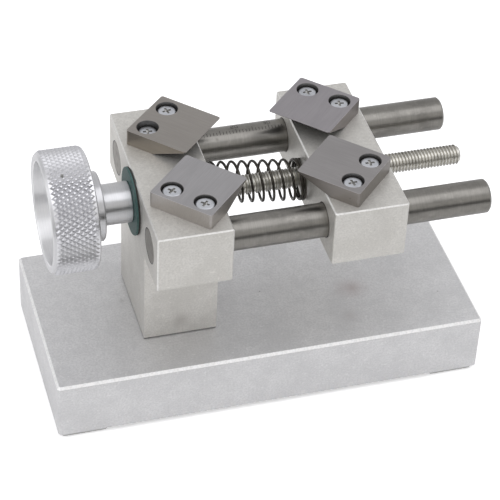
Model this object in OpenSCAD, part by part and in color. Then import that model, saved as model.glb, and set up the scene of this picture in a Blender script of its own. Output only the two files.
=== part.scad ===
// Bench holder for a watch movement: a fixed jaw on a pedestal and a moving jaw that slides on two guide rods.
// X runs along the rods, from the knob to the free ends. Y runs to the back. Z is up, and is 0 under the foot pads.
// The origin is under the middle of the base plate.

/* [Base plate] */
// Length of the base plate along the rods
base_w = 130; // [128:1:160]
// Depth of the base plate from front to back
base_d = 60; // [56:1:90]
// Thickness of the base plate
base_h = 19.5; // [14:0.5:28]
// Side of each square foot pad
pad_w = 14; // [8:1:20]
// Thickness of the foot pads
pad_h = 1; // [0.5:0.25:3]
// Distance from the edge of the base plate to the foot pads
pad_inset = 1; // [0.5:0.5:6]
// Chamfer on the edges of the base plate and of the jaw blocks
edge_chamfer = 0.5; // [0.2:0.1:1.5]

/* [Jaw blocks] */
// Length of both jaw blocks along the rods
jaw_w = 22; // [18:1:28]
// Depth of both jaw blocks from front to back
jaw_d = 60; // [58:1:70]
// Height of both jaw blocks
jaw_h = 18.5; // [16:0.5:26]
// Depth of the fixed jaw's pedestal from front to back
pedestal_d = 30; // [24:1:40]
// Height of the pedestal between the base plate and the jaw
pedestal_h = 31.5; // [24:0.5:50]
// Place of the fixed jaw's knob side along the rods
fixed_jaw_x = -36; // [-40:0.5:-34]
// Opening between the two jaw blocks
jaw_gap = 29.2; // [20:0.1:36]

/* [Guide rods and lead screw] */
// Height of the rod and screw axes above the underside of the jaws
axis_up = 9.1; // [8:0.1:10]
// Diameter of the guide rods
rod_dia = 10; // [8:0.5:12]
// Distance between the axes of the two guide rods
rod_spacing = 41; // [38:0.5:44]
// Place of the guide rods' free ends
rod_end_x = 64.7; // [60:0.1:64.9]
// Outer diameter of the lead screw's thread
screw_dia = 6; // [5:0.5:8]
// Place of the lead screw's free end
screw_end_x = 63.5; // [60:0.1:64.5]
// Radial clearance of the moving jaw on the rods and on the lead screw
running_gap = 0.05; // [0.02:0.01:0.1]

/* [Knob and washer] */
// Diameter of the knurled rim
knob_dia = 36; // [34:0.5:42]
// Width of the knurled rim
knob_w = 13.4; // [11.5:0.1:16]
// Diameter of the hollow in the knob's outer face
cup_dia = 30; // [20:0.5:32]
// Depth of the hollow in the knob's outer face
cup_h = 9; // [2:0.5:10]
// Diameter of the step between the rim and the hub
step_dia = 20.4; // [14:0.2:26]
// Width of the step
step_w = 3.1; // [2:0.1:5]
// Diameter of the hub
hub_dia = 12; // [10:0.5:14]
// Length of the hub
hub_w = 8.7; // [6:0.1:9]
// Diameter of the thrust washer
washer_dia = 20; // [16:0.5:24]
// Thickness of the thrust washer
washer_h = 1; // [0.5:0.1:2]

/* [Return spring] */
// Outer diameter of the spring
spring_dia = 12.6; // [11:0.1:14]
// Diameter of the spring wire
wire_dia = 0.8; // [0.6:0.1:1]
// Open coils between the closed ends
open_coils = 8; // [6:1:10]
// Closed coils at each end
closed_coils = 2; // [1:1:3]

/* [Blades] */
// Side of each square blade
blade_w = 20; // [16:0.5:20]
// Thickness of the blades
blade_h = 5; // [4.5:0.5:6]
// Width of the bevel under each knife edge
bevel_w = 11.2; // [6:0.1:11.2]
// Height of the blunt land at the knife edge
edge_land = 0.2; // [0.1:0.1:0.5]
// Distance from the middle of the holder to the middle of each blade across the rods
blade_y = 14.5; // [14.3:0.1:15.5]
// Place of the fixed blades' middle along the rods
fixed_blade_x = -20.5; // [-22:0.1:-19]
// Place of the moving blades' middle along the rods
moving_blade_x = 22.3; // [21:0.1:24]
// Distance from the middle of a blade back to its line of screws
blade_screw_back = 5.5; // [5.3:0.1:6]
// Distance between the two screws of a blade
blade_screw_spacing = 10.7; // [9:0.1:12]

/* [Screws] */
// Head diameter of the blade screws
blade_head_dia = 5.6; // [5:0.1:6]
// Head height of the blade screws
blade_head_h = 2; // [1.5:0.1:2.4]
// Thread diameter of the blade screws
blade_thread_dia = 3; // [2.5:0.5:3]
// Length of the blade screws under the head
blade_thread_l = 5; // [4:0.5:5]
// Diameter of the counterbores in the blades
blade_counterbore_dia = 6.4; // [6:0.1:6.8]
// Depth of the counterbores in the blades
blade_counterbore_h = 3; // [2.5:0.1:3]
// Thread diameter of the base screws
base_thread_dia = 5; // [4:0.5:6]
// Length of the base screws under the head
base_thread_l = 25; // [20:1:30]
// Distance between the two base screws
base_screw_spacing = 16; // [12:0.5:18]

/* [Hidden] */
$fn = 64;

// Length added to a cut so that it runs clear through a face
cut = 1;

// Heights of the main levels
base_top = pad_h + base_h;
jaw_bottom = base_top + pedestal_h;
jaw_top = jaw_bottom + jaw_h;
axis_z = jaw_bottom + axis_up;

// Places along the rods
fixed_jaw_right_x = fixed_jaw_x + jaw_w;
moving_jaw_x = fixed_jaw_right_x + jaw_gap;
washer_x = fixed_jaw_x - washer_h;
washer_gap = 0.05;
hub_x = washer_x - washer_gap;
step_x = hub_x - hub_w;
rim_x = step_x - step_w;
screw_reach = 2.2;
screw_socket_depth = hub_w + step_w + screw_reach;
rim_end = hub_w + step_w + knob_w;

// Chamfers of turned ends
rod_chamfer = 0.6;
screw_chamfer = 0.9;
rim_chamfer = 1;
rim_round = 1.5;
step_chamfer = 0.4;

// Holes
washer_clearance = 0.1;
blade_hole_clearance = 0.2;
blade_hole_spare = 0.4;
blade_seat = blade_h - blade_counterbore_h;
blade_hole_depth = blade_thread_l - blade_seat + blade_hole_spare;
base_hole_clearance = 0.25;
base_head_dia = 8.5;
base_head_h = 5;
base_counterbore_dia = 9.5;
base_counterbore_h = 5.5;
base_hole_spare = 1.5;
base_screw_depth = pad_h + base_counterbore_h + base_thread_l - base_top;
base_hex_w = 4;
base_hex_h = 2.5;
tip_chamfer = 0.4;

// Cross recess of the blade screws
recess_w = 0.8;
recess_l = 3.2;
recess_h = 1.1;
head_round = 0.7;

// Return spring
spring_gap = 0.05;
closed_pitch = wire_dia + spring_gap;
spring_x = fixed_jaw_right_x + spring_gap + wire_dia / 2;
spring_l = jaw_gap - 2 * spring_gap - wire_dia;
open_pitch = (spring_l - 2 * closed_coils * closed_pitch) / open_coils;
spring_turns = open_coils + 2 * closed_coils;
wire_sides = 8;
coil_steps = 24;

// Distance along the spring after a number of turns, counted from its first closed coil
function spring_travel(turn) =
  min(turn, closed_coils) * closed_pitch
  + max(0, min(turn - closed_coils, open_coils)) * open_pitch
  + max(0, turn - closed_coils - open_coils) * closed_pitch;

// Lays a body that was turned about Z along +X instead
module along_x() {
  rotate([0, 90, 0]) children();
}

// Rectangle with its corner at the origin and all four corners cut at 45 degrees
module chamfered_rectangle(w, h, chamfer) {
  polygon([
    [chamfer, 0], [w - chamfer, 0], [w, chamfer], [w, h - chamfer],
    [w - chamfer, h], [chamfer, h], [0, h - chamfer], [0, chamfer]
  ]);
}

// Block with its corner at the origin and every edge cut at 45 degrees
module chamfered_block(w, d, h, chamfer) {
  intersection() {
    linear_extrude(h) chamfered_rectangle(w, d, chamfer);
    translate([0, d, 0]) rotate([90, 0, 0]) linear_extrude(d) chamfered_rectangle(w, h, chamfer);
    rotate([90, 0, 90]) linear_extrude(w) chamfered_rectangle(d, h, chamfer);
  }
}

// Round bar along +X from start_x to end_x, with a chamfer at its free end
module bar_x(start_x, end_x, dia, chamfer) {
  l = end_x - start_x;
  r = dia / 2;
  translate([start_x, 0, 0]) along_x() {
    rotate_extrude() polygon([[0, 0], [r, 0], [r, l - chamfer], [r - chamfer, l], [0, l]]);
  }
}

// Hole along X through a jaw block
module hole_x(start_x, y, dia) {
  translate([start_x - cut, y, axis_z]) along_x() cylinder(h = jaw_w + 2 * cut, d = dia);
}

// Moves a blade's parts from their own frame, where +X is the knife side, to their place
module at_blade(x, side, turn) {
  translate([x, side * blade_y, jaw_top]) rotate([0, 0, turn]) children();
}

// Places of a blade's two screws in the blade's own frame
module at_blade_screw(end) {
  translate([-blade_screw_back, end * blade_screw_spacing / 2, 0]) children();
}

// The four blades: place along the rods, side across them and turn of the knife side
fixed_front = [fixed_blade_x, -1, 45];
fixed_back = [fixed_blade_x, 1, -45];
moving_front = [moving_blade_x, -1, 135];
moving_back = [moving_blade_x, 1, -135];

// Threaded blind holes for one blade's two screws, cut down from the top of a jaw block
module blade_screw_holes(blade) {
  at_blade(blade[0], blade[1], blade[2]) {
    for (end = [-1, 1]) {
      at_blade_screw(end) translate([0, 0, -blade_hole_depth]) {
        cylinder(h = blade_hole_depth + cut, d = blade_thread_dia);
      }
    }
  }
}

// Place of one base screw, under the middle of the pedestal
module at_base_screw(side) {
  translate([fixed_jaw_x + jaw_w / 2, side * base_screw_spacing / 2, 0]) children();
}

// Places of both base screws
module at_base_screws() {
  for (side = [-1, 1]) {
    at_base_screw(side) children();
  }
}

module base_plate() {
  color("#c9c9ce") difference() {
    translate([-base_w / 2, -base_d / 2, pad_h]) chamfered_block(base_w, base_d, base_h, edge_chamfer);
    at_base_screws() {
      translate([0, 0, pad_h - cut]) {
        cylinder(h = base_h + 2 * cut, d = base_thread_dia + 2 * base_hole_clearance);
        cylinder(h = base_counterbore_h + cut, d = base_counterbore_dia);
      }
    }
  }
}

// One square pad under a corner of the base plate
module foot_pad(side_x, side_y) {
  x = side_x * (base_w / 2 - pad_inset - pad_w / 2);
  y = side_y * (base_d / 2 - pad_inset - pad_w / 2);
  color("#8d8f92") translate([x - pad_w / 2, y - pad_w / 2, 0]) {
    linear_extrude(pad_h) chamfered_rectangle(pad_w, pad_w, pad_inset);
  }
}

// Outline of the fixed jaw seen along the rods: the head on its pedestal
module fixed_jaw_outline() {
  c = edge_chamfer;
  head = jaw_d / 2;
  foot = pedestal_d / 2;
  polygon([
    [-foot, base_top], [foot, base_top], [foot, jaw_bottom],
    [head - c, jaw_bottom], [head, jaw_bottom + c], [head, jaw_top - c], [head - c, jaw_top],
    [c - head, jaw_top], [-head, jaw_top - c], [-head, jaw_bottom + c], [c - head, jaw_bottom],
    [-foot, jaw_bottom]
  ]);
}

module fixed_jaw_block() {
  color("#cbcbcb") difference() {
    intersection() {
      translate([fixed_jaw_x, 0, 0]) rotate([90, 0, 90]) linear_extrude(jaw_w) fixed_jaw_outline();
      translate([fixed_jaw_x, -jaw_d / 2, base_top - edge_chamfer]) {
        chamfered_block(jaw_w, jaw_d, jaw_top - base_top + edge_chamfer, edge_chamfer);
      }
    }
    for (side = [-1, 1]) {
      hole_x(fixed_jaw_x, side * rod_spacing / 2, rod_dia);
    }
    hole_x(fixed_jaw_x, 0, screw_dia + 2 * running_gap);
    blade_screw_holes(fixed_front);
    blade_screw_holes(fixed_back);
    at_base_screws() {
      translate([0, 0, base_top - cut]) {
        cylinder(h = base_screw_depth + base_hole_spare + cut, d = base_thread_dia);
      }
    }
  }
}

module moving_jaw_block() {
  color("#cbcbcb") difference() {
    translate([moving_jaw_x, -jaw_d / 2, jaw_bottom]) chamfered_block(jaw_w, jaw_d, jaw_h, edge_chamfer);
    for (side = [-1, 1]) {
      hole_x(moving_jaw_x, side * rod_spacing / 2, rod_dia + 2 * running_gap);
    }
    hole_x(moving_jaw_x, 0, screw_dia + 2 * running_gap);
    blade_screw_holes(moving_front);
    blade_screw_holes(moving_back);
  }
}

// One guide rod, pressed into the fixed jaw and flush with its knob side
module guide_rod(side) {
  color("#8b8a86") translate([0, side * rod_spacing / 2, axis_z]) {
    bar_x(fixed_jaw_x, rod_end_x, rod_dia, rod_chamfer);
  }
}

module lead_screw() {
  color("#b7b09c") translate([0, 0, axis_z]) {
    bar_x(hub_x - screw_socket_depth, screw_end_x, screw_dia, screw_chamfer);
  }
}

// Knob outline from the washer outwards: hub, step and rim, turned about the lead screw
module knob_outline() {
  hub_r = hub_dia / 2;
  step_r = step_dia / 2;
  rim_r = knob_dia / 2;
  step_end = hub_w + step_w;
  square([hub_r, hub_w + cut]);
  polygon([
    [0, hub_w], [step_r - step_chamfer, hub_w], [step_r, hub_w + step_chamfer],
    [step_r, step_end + cut], [0, step_end + cut]
  ]);
  polygon([
    [0, step_end], [rim_r - rim_round, step_end], [rim_r - rim_round, step_end + rim_round],
    [rim_r, step_end + rim_round], [rim_r, rim_end - rim_chamfer], [rim_r - rim_chamfer, rim_end],
    [0, rim_end]
  ]);
  translate([rim_r - rim_round, step_end + rim_round]) circle(r = rim_round);
}

module knob() {
  color("#d6d7d9") translate([hub_x, 0, axis_z]) mirror([1, 0, 0]) along_x() difference() {
    rotate_extrude() knob_outline();
    translate([0, 0, -cut]) cylinder(h = screw_socket_depth + cut, d = screw_dia);
    translate([0, 0, rim_end - cup_h]) cylinder(h = cup_h + cut, d = cup_dia);
  }
}

module thrust_washer() {
  color("#4d6f6b") translate([washer_x, 0, axis_z]) along_x() difference() {
    cylinder(h = washer_h, d = washer_dia);
    translate([0, 0, -cut]) cylinder(h = washer_h + 2 * cut, d = screw_dia + 2 * washer_clearance);
  }
}

// Ring of points round the spring wire at one place along the coil
function wire_ring(turn) = [
  for (k = [0:wire_sides - 1])
    let (
      around = 360 * k / wire_sides,
      r = spring_dia / 2 - wire_dia / 2 + wire_dia / 2 * cos(around),
      x = spring_x + spring_travel(turn) + wire_dia / 2 * sin(around)
    )
    [x, r * cos(360 * turn), axis_z + r * sin(360 * turn)]
];

module return_spring() {
  rings = round(spring_turns * coil_steps);
  points = [for (i = [0:rings]) each wire_ring(i / coil_steps)];
  first_cap = [for (k = [0:wire_sides - 1]) k];
  last_cap = [for (k = [wire_sides - 1:-1:0]) rings * wire_sides + k];
  sides = [
    for (i = [0:rings - 1])
      for (k = [0:wire_sides - 1])
        let (
          a = i * wire_sides + k,
          b = i * wire_sides + (k + 1) % wire_sides,
          c = b + wire_sides,
          d = a + wire_sides
        )
        each [[a, d, c], [a, c, b]]
  ];
  color("#3b3a39") polyhedron(points = points, faces = concat([first_cap, last_cap], sides));
}

// Side view of a blade: its knife side is at the top, over the bevel
module blade_outline() {
  knife = blade_w / 2;
  polygon([
    [-knife, 0], [knife - bevel_w, 0], [knife, blade_h - edge_land], [knife, blade_h], [-knife, blade_h]
  ]);
}

// One bevelled blade with its two counterbored screw holes
module blade(place) {
  color("#8a8783") at_blade(place[0], place[1], place[2]) difference() {
    translate([0, blade_w / 2, 0]) rotate([90, 0, 0]) linear_extrude(blade_w) blade_outline();
    for (end = [-1, 1]) {
      at_blade_screw(end) {
        translate([0, 0, -cut]) cylinder(h = blade_h + 2 * cut, d = blade_thread_dia + 2 * blade_hole_clearance);
        translate([0, 0, blade_h - blade_counterbore_h]) {
          cylinder(h = blade_counterbore_h + cut, d = blade_counterbore_dia);
        }
      }
    }
  }
}

// One blade screw: a rounded head with a cross recess, on a short thread
module blade_screw(place, end) {
  head_r = blade_head_dia / 2;
  thread_r = blade_thread_dia / 2;
  color("#c3c7cc") at_blade(place[0], place[1], place[2]) at_blade_screw(end) {
    translate([0, 0, blade_seat]) difference() {
      rotate_extrude() {
        polygon([
          [0, -blade_thread_l], [thread_r - tip_chamfer, -blade_thread_l],
          [thread_r, tip_chamfer - blade_thread_l], [thread_r, 0], [head_r, 0],
          [head_r, blade_head_h - head_round], [head_r - head_round, blade_head_h - head_round],
          [head_r - head_round, blade_head_h], [0, blade_head_h]
        ]);
        translate([head_r - head_round, blade_head_h - head_round]) circle(r = head_round);
      }
      for (turn = [0, 90]) {
        rotate([0, 0, turn]) translate([-recess_l / 2, -recess_w / 2, blade_head_h - recess_h]) {
          cube([recess_l, recess_w, recess_h + cut]);
        }
      }
    }
  }
}

// One socket-head screw up through the base plate into the pedestal
module base_screw(side) {
  head_r = base_head_dia / 2;
  thread_r = base_thread_dia / 2;
  color("#56575a") at_base_screw(side) translate([0, 0, pad_h + base_counterbore_h]) difference() {
    rotate_extrude() {
      polygon([
        [0, -base_head_h], [head_r - tip_chamfer, -base_head_h], [head_r, tip_chamfer - base_head_h],
        [head_r, 0], [thread_r, 0], [thread_r, base_thread_l - tip_chamfer],
        [thread_r - tip_chamfer, base_thread_l], [0, base_thread_l]
      ]);
    }
    translate([0, 0, -base_head_h - cut]) {
      cylinder(h = base_hex_h + cut, r = base_hex_w / 2 / cos(30), $fn = 6);
    }
  }
}

base_plate();
foot_pad(-1, -1);  // foot_pad_front_left
foot_pad(1, -1);  // foot_pad_front_right
foot_pad(-1, 1);  // foot_pad_back_left
foot_pad(1, 1);  // foot_pad_back_right
fixed_jaw_block();
moving_jaw_block();
guide_rod(-1);  // guide_rod_front
guide_rod(1);  // guide_rod_back
lead_screw();
knob();
thrust_washer();
return_spring();
blade(fixed_front);  // blade_fixed_front
blade(fixed_back);  // blade_fixed_back
blade(moving_front);  // blade_moving_front
blade(moving_back);  // blade_moving_back
blade_screw(fixed_front, 1);  // blade_screw_fixed_front_left
blade_screw(fixed_front, -1);  // blade_screw_fixed_front_right
blade_screw(fixed_back, -1);  // blade_screw_fixed_back_left
blade_screw(fixed_back, 1);  // blade_screw_fixed_back_right
blade_screw(moving_front, 1);  // blade_screw_moving_front_left
blade_screw(moving_front, -1);  // blade_screw_moving_front_right
blade_screw(moving_back, -1);  // blade_screw_moving_back_left
blade_screw(moving_back, 1);  // blade_screw_moving_back_right
base_screw(-1);  // base_screw_front
base_screw(1);  // base_screw_back
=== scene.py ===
"""Looks of a bench holder for watch movements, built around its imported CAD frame.

Everything is in metres in the frame's own axes: X runs along the rods away from the knob, Y to the back and
Z up.
"""

import math
from collections import namedtuple

import bmesh
import bpy
from mathutils import Matrix, Vector


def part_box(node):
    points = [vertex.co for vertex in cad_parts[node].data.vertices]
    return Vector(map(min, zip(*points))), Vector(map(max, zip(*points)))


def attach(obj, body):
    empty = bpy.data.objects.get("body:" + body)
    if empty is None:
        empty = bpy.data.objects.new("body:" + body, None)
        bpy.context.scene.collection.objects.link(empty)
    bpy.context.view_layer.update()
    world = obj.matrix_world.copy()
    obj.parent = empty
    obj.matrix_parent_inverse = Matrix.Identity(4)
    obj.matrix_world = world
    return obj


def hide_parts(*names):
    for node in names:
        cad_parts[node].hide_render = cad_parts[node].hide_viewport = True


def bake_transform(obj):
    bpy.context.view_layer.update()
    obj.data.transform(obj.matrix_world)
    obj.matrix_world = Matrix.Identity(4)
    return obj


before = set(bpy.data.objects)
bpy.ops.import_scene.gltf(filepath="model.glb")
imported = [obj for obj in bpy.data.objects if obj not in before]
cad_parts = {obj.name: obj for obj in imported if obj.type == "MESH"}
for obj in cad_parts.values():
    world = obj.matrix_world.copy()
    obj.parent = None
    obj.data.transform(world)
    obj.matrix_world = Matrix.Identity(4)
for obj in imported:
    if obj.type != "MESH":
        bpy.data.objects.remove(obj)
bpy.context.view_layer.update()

MM = 0.001

# Boxes that place everything
BASE_LO, BASE_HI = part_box("base_plate")
FIXED_LO, FIXED_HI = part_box("fixed_jaw_block")
MOVING_LO, MOVING_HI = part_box("moving_jaw_block")
ROD_LO, ROD_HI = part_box("guide_rod_front")
SCREW_LO, SCREW_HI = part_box("lead_screw")
KNOB_LO, KNOB_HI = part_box("knob")
WASHER_LO, WASHER_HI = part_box("thrust_washer")
SPRING_LO, SPRING_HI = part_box("return_spring")
AXIS_Z = (SCREW_LO[2] + SCREW_HI[2]) / 2
ROD_R = (ROD_HI[2] - ROD_LO[2]) / 2
SCREW_R = (SCREW_HI[2] - SCREW_LO[2]) / 2
ROD_Y = abs(ROD_LO[1] + ROD_HI[1]) / 2
JAW_BOTTOM = MOVING_LO[2]

# Blocks
BASE_CHAMFER = 0.7 * MM
BASE_CORNER = 1.1 * MM
BASE_BORE_R = 4.75 * MM
BASE_BORE_H = 5.5 * MM
BASE_HOLE_R = 2.75 * MM
PAD_CORNER = 1.2 * MM
PAD_EDGE_ROUND = 0.15 * MM
JAW_CHAMFER = 0.35 * MM
JAW_CORNER = 0.7 * MM
# Chamfer under the fixed jaw's foot, which takes the near-black bore colour as a painted shadow line
CONTACT_CHAMFER = 0.35 * MM
PEDESTAL_HALF_D = 15 * MM
BORE_GAP = 0.05 * MM
ROD_BORE_FLARE = 0.25 * MM
SCREW_BORE_FLARE = 0.5 * MM
PAST_FACE = 1 * MM

# Turned parts
ROUND_STEPS = 96
FINE_STEPS = 48
HEAD_STEPS = 64
ROD_END_CHAMFER = 0.6 * MM
ROD_FLUSH_CHAMFER = 0.12 * MM
HUB_R = 6 * MM
HUB_L = 8.7 * MM
HUB_FILLET = 0.3 * MM
HUB_CHAMFER = 0.25 * MM
STEP_R = 10.2 * MM
STEP_L = 3.1 * MM
STEP_CHAMFER = 0.4 * MM
WASHER_HOLE_R = 3.1 * MM
WASHER_EDGE = 0.12 * MM

# Knob's rim, its knurl and the hollow in its outer face
RIM_ROUND = 1.5 * MM
RIM_CHAMFER = 1 * MM
KNURL_COUNT = 70
KNURL_ROWS = 11
KNURL_DEPTH = 0.42 * MM
KNURL_TOP = 0.7
CUP_R = 15 * MM
CUP_DEPTH = 9 * MM
CUP_EDGE = 0.25 * MM
CUP_FILLET = 0.8 * MM

# Lead screw's thread: its profile as share of the pitch and depth below the crest
THREAD_PITCH = 1 * MM
THREAD_DEPTH = 0.61 * MM
THREAD = ((0.00, 0), (0.16, 0), (0.46, THREAD_DEPTH), (0.70, THREAD_DEPTH))
THREAD_STEPS = 36
SCREW_CHAMFER = 0.9 * MM

# Scale on the back rod
SCALE_START_X = -10 * MM
FIRST_NUMBER = 10
SCALE_TICKS = 25
SCALE_BASELINE = 2.0 * MM
SHORT_TICK = 1.1 * MM
LONG_TICK = 1.7 * MM
STROKE_W = 0.22 * MM
DIGIT_H = 1.3 * MM
DIGIT_GAP = 0.4 * MM
DIGIT_PITCH = 0.95 * DIGIT_H

# Return spring
WIRE_R = 0.4 * MM
WIRE_STEPS = 12
OPEN_COILS = 8
CLOSED_COILS = 2
CLOSED_PITCH = 2 * WIRE_R + BORE_GAP
COIL_STEPS = 48
COIL_START = 0.15
LEAN_START = Vector((0, 1.3, 1.6)) * MM
LEAN_END = Vector((0, 0, -1.0)) * MM

# Blades and their screws
BLADE_HALF_W = 10 * MM
BLADE_H = 5 * MM
BEVEL_W = 11.2 * MM
EDGE_LAND = 0.2 * MM
BLADE_CORNER = 0.7 * MM
EDGE_BREAK = 0.08 * MM
# Lighter copy of the blade steel on the broken edges: partly wear, partly a painted highlight
EDGE_WEAR_AND_HIGHLIGHT = 1.25
# Warmer tint for the blades' sides, on top of their painted shade
SIDE_WARMTH = (1, 0.965, 0.90)
COUNTERBORE_R = 3.2 * MM
COUNTERBORE_H = 3 * MM
BORE_BREAK = 0.1 * MM
SHANK_R = 1.5 * MM
SHANK_HOLE_R = 1.7 * MM
SHANK_L = 5 * MM
SHANK_TIP = 0.4 * MM
HEAD_R = 2.9 * MM
HEAD_LOW_EDGE = 0.08 * MM
HEAD_ROUND = 0.75 * MM
HEAD_BOX_H = 2 * MM
HEAD_H = 2.15 * MM
HIGH_HEAD_H = 2.4 * MM
LOW_HEAD_H = 1.4 * MM
# Cross recess: rise over the head's top, half length of its arms and half their width
CROSS_RECESS = (
    (0.2 * MM, 1.40 * MM, 0.36 * MM),
    (-0.5 * MM, 1.22 * MM, 0.32 * MM),
    (-0.9 * MM, 0.65 * MM, 0.26 * MM),
)

# Screws under the base plate
BASE_HEAD_H = 5 * MM
BASE_THREAD_R = 2.5 * MM
BASE_SCREW_TIP = 0.5 * MM
HEX_HALF_W = 2 * MM
HEX_DEPTH = 2.5 * MM
HEX_POINT = 3.2 * MM

# Places of the materials on the pieces that have more than one
BLOCK_CHAMFER = 1
BORE = 2
ROD_END = 1
WASHER_RIM = 1
RECESS = 1
KNOB_TURNED, KNOB_VALLEY, KNOB_CUP = 1, 2, 3
BLADE_TOP, BLADE_EDGE, BLADE_BEVEL, BLADE_SIDE = 0, 1, 3, 4

# Camera at the photograph's viewpoint, with angles in degrees
CAMERA_AZIMUTH = -17.5447
CAMERA_ELEVATION = 40.3868
CAMERA_ROLL = 2.92
CAMERA_PLACE = Vector((-142.08, -449.58, 436.67)) * MM
CAMERA_LENS = 148.98
CAMERA_SENSOR = 36
CAMERA_CLIP = 0.01

# Studio, in metres and watts
TENT_COLOUR = (0.985, 0.985, 1.0, 1)
TENT_STRENGTH = 0.72
OVERHEAD_TILT = 14
FRONT_TILT = 57
FLOOR_HALF_W = 3
FLOOR_DROP = 0.05 * MM
PAPER_GLOW = 0.4
CARD_HALF_W = 1.5
CARD_HALF_H = 0.09
CARD_PLACE = (0, -0.5, 0.085)


# ---- mesh tools


def ring(bm, centre, radius, axis="X", steps=ROUND_STEPS):
    """A circle of new vertices about a centre, across the X or the Z axis."""
    points = []
    for step in range(steps):
        angle = 2 * math.pi * step / steps
        a = radius * math.cos(angle)
        b = radius * math.sin(angle)
        offset = Vector((0, a, b)) if axis == "X" else Vector((a, b, 0))
        points.append(bm.verts.new(Vector(centre) + offset))
    return points


def bridge(bm, row_a, row_b, material_index=0):
    """Quads between two closed rows of the same number of vertices."""
    count = len(row_a)
    for i in range(count):
        j = (i + 1) % count
        face = bm.faces.new((row_a[i], row_a[j], row_b[j], row_b[i]))
        face.material_index = material_index


def loft(bm, rows, hollow=False):
    """A skin over rows of vertices, with a cap at both ends or, when hollow, closed into a loop."""
    for row_a, row_b in zip(rows, rows[1:]):
        bridge(bm, row_a, row_b)
    if hollow:
        bridge(bm, rows[-1], rows[0])
    else:
        bm.faces.new(rows[0])
        bm.faces.new(rows[-1])


def lathe(bm, profile, centre, axis="X", steps=ROUND_STEPS, hollow=False):
    """A solid of revolution. The profile lists pairs of place along the axis and radius."""
    rows = []
    for along, radius in profile:
        offset = Vector((along, 0, 0)) if axis == "X" else Vector((0, 0, along))
        rows.append(ring(bm, Vector(centre) + offset, radius, axis, steps))
    loft(bm, rows, hollow)


def arc(centre, radius, start, end, steps):
    """Points on an arc in a profile's plane, with angles in degrees."""
    points = []
    for step in range(steps + 1):
        angle = math.radians(start + (end - start) * step / steps)
        points.append((centre[0] + radius * math.cos(angle), centre[1] + radius * math.sin(angle)))
    return points


def rounded_rectangle(half_x, half_y, radius, steps=5):
    """Outline of a rectangle about the origin with rounded corners."""
    outline = []
    for sign_x, sign_y, start in ((1, 1, 0), (-1, 1, 90), (-1, -1, 180), (1, -1, 270)):
        corner = (sign_x * (half_x - radius), sign_y * (half_y - radius))
        outline += arc(corner, radius, start, start + 90, steps)
    return outline


def prism(bm, outline, bottom, top):
    """A flat outline pulled up from one height to another."""
    rows = []
    for height in (bottom, top):
        rows.append([bm.verts.new((x, y, height)) for x, y in outline])
    loft(bm, rows)


def slice_off(bm, place, outwards):
    """Takes away what lies beyond a plane, and returns the faces that close the cut."""
    geometry = bm.verts[:] + bm.edges[:] + bm.faces[:]
    made = bmesh.ops.bisect_plane(bm, geom=geometry, plane_co=place, plane_no=outwards, clear_outer=True)
    rim = [e for e in made["geom_cut"] if isinstance(e, bmesh.types.BMEdge)]
    return bmesh.ops.contextual_create(bm, geom=rim)["faces"]


def sharp_edges(bm, angle=40):
    """Edges that turn outwards by more than an angle in degrees."""
    bmesh.ops.recalc_face_normals(bm, faces=bm.faces)
    limit = math.radians(angle)
    return [e for e in bm.edges if e.is_manifold and e.calc_face_angle_signed() > limit]


def bevel(bm, edges, size, material_index=0, segments=1):
    """Cuts edges back, and gives the new faces a material of their own."""
    made = bmesh.ops.bevel(
        bm, geom=edges, offset=size, segments=segments, profile=0.6, affect="EDGES", clamp_overlap=True
    )
    for face in made["faces"]:
        face.material_index = material_index


def new_object(name, data):
    """A new object in the scene."""
    made = bpy.data.objects.new(name, data)
    bpy.context.collection.objects.link(made)
    return made


def make_object(name, bm, materials=()):
    """Turns a bmesh into an object with smooth shading between its sharp edges."""
    bmesh.ops.recalc_face_normals(bm, faces=bm.faces)
    mesh = bpy.data.meshes.new(name)
    bm.to_mesh(mesh)
    bm.free()
    for material in materials:
        mesh.materials.append(material)
    piece = new_object(name, mesh)
    shade(piece)
    return piece


def shade(piece, angle=32):
    """Smooth shading, with a crease wherever the surface turns by more than an angle in degrees."""
    piece.data.shade_smooth()
    piece.data.set_sharp_from_angle(angle=math.radians(angle))


def cut(piece, cutter):
    """Takes a cutter's solid away from a piece, then deletes the cutter."""
    modifier = piece.modifiers.new("cut", "BOOLEAN")
    modifier.operation = "DIFFERENCE"
    modifier.solver = "EXACT"
    modifier.object = cutter
    depsgraph = bpy.context.evaluated_depsgraph_get()
    cut_mesh = bpy.data.meshes.new_from_object(piece.evaluated_get(depsgraph))
    piece.modifiers.clear()
    piece.data = cut_mesh
    bpy.data.objects.remove(cutter)
    shade(piece)


def finish(piece, body, slot, *nodes):
    """Attaches a piece to a body, in place of its CAD nodes, which it hides; the material slot it is given
    is not used.
    """
    piece.modifiers.new("face_normals", "WEIGHTED_NORMAL").keep_sharp = True
    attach(piece, body)
    if nodes:
        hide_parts(*nodes)


# ---- material tools


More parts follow.
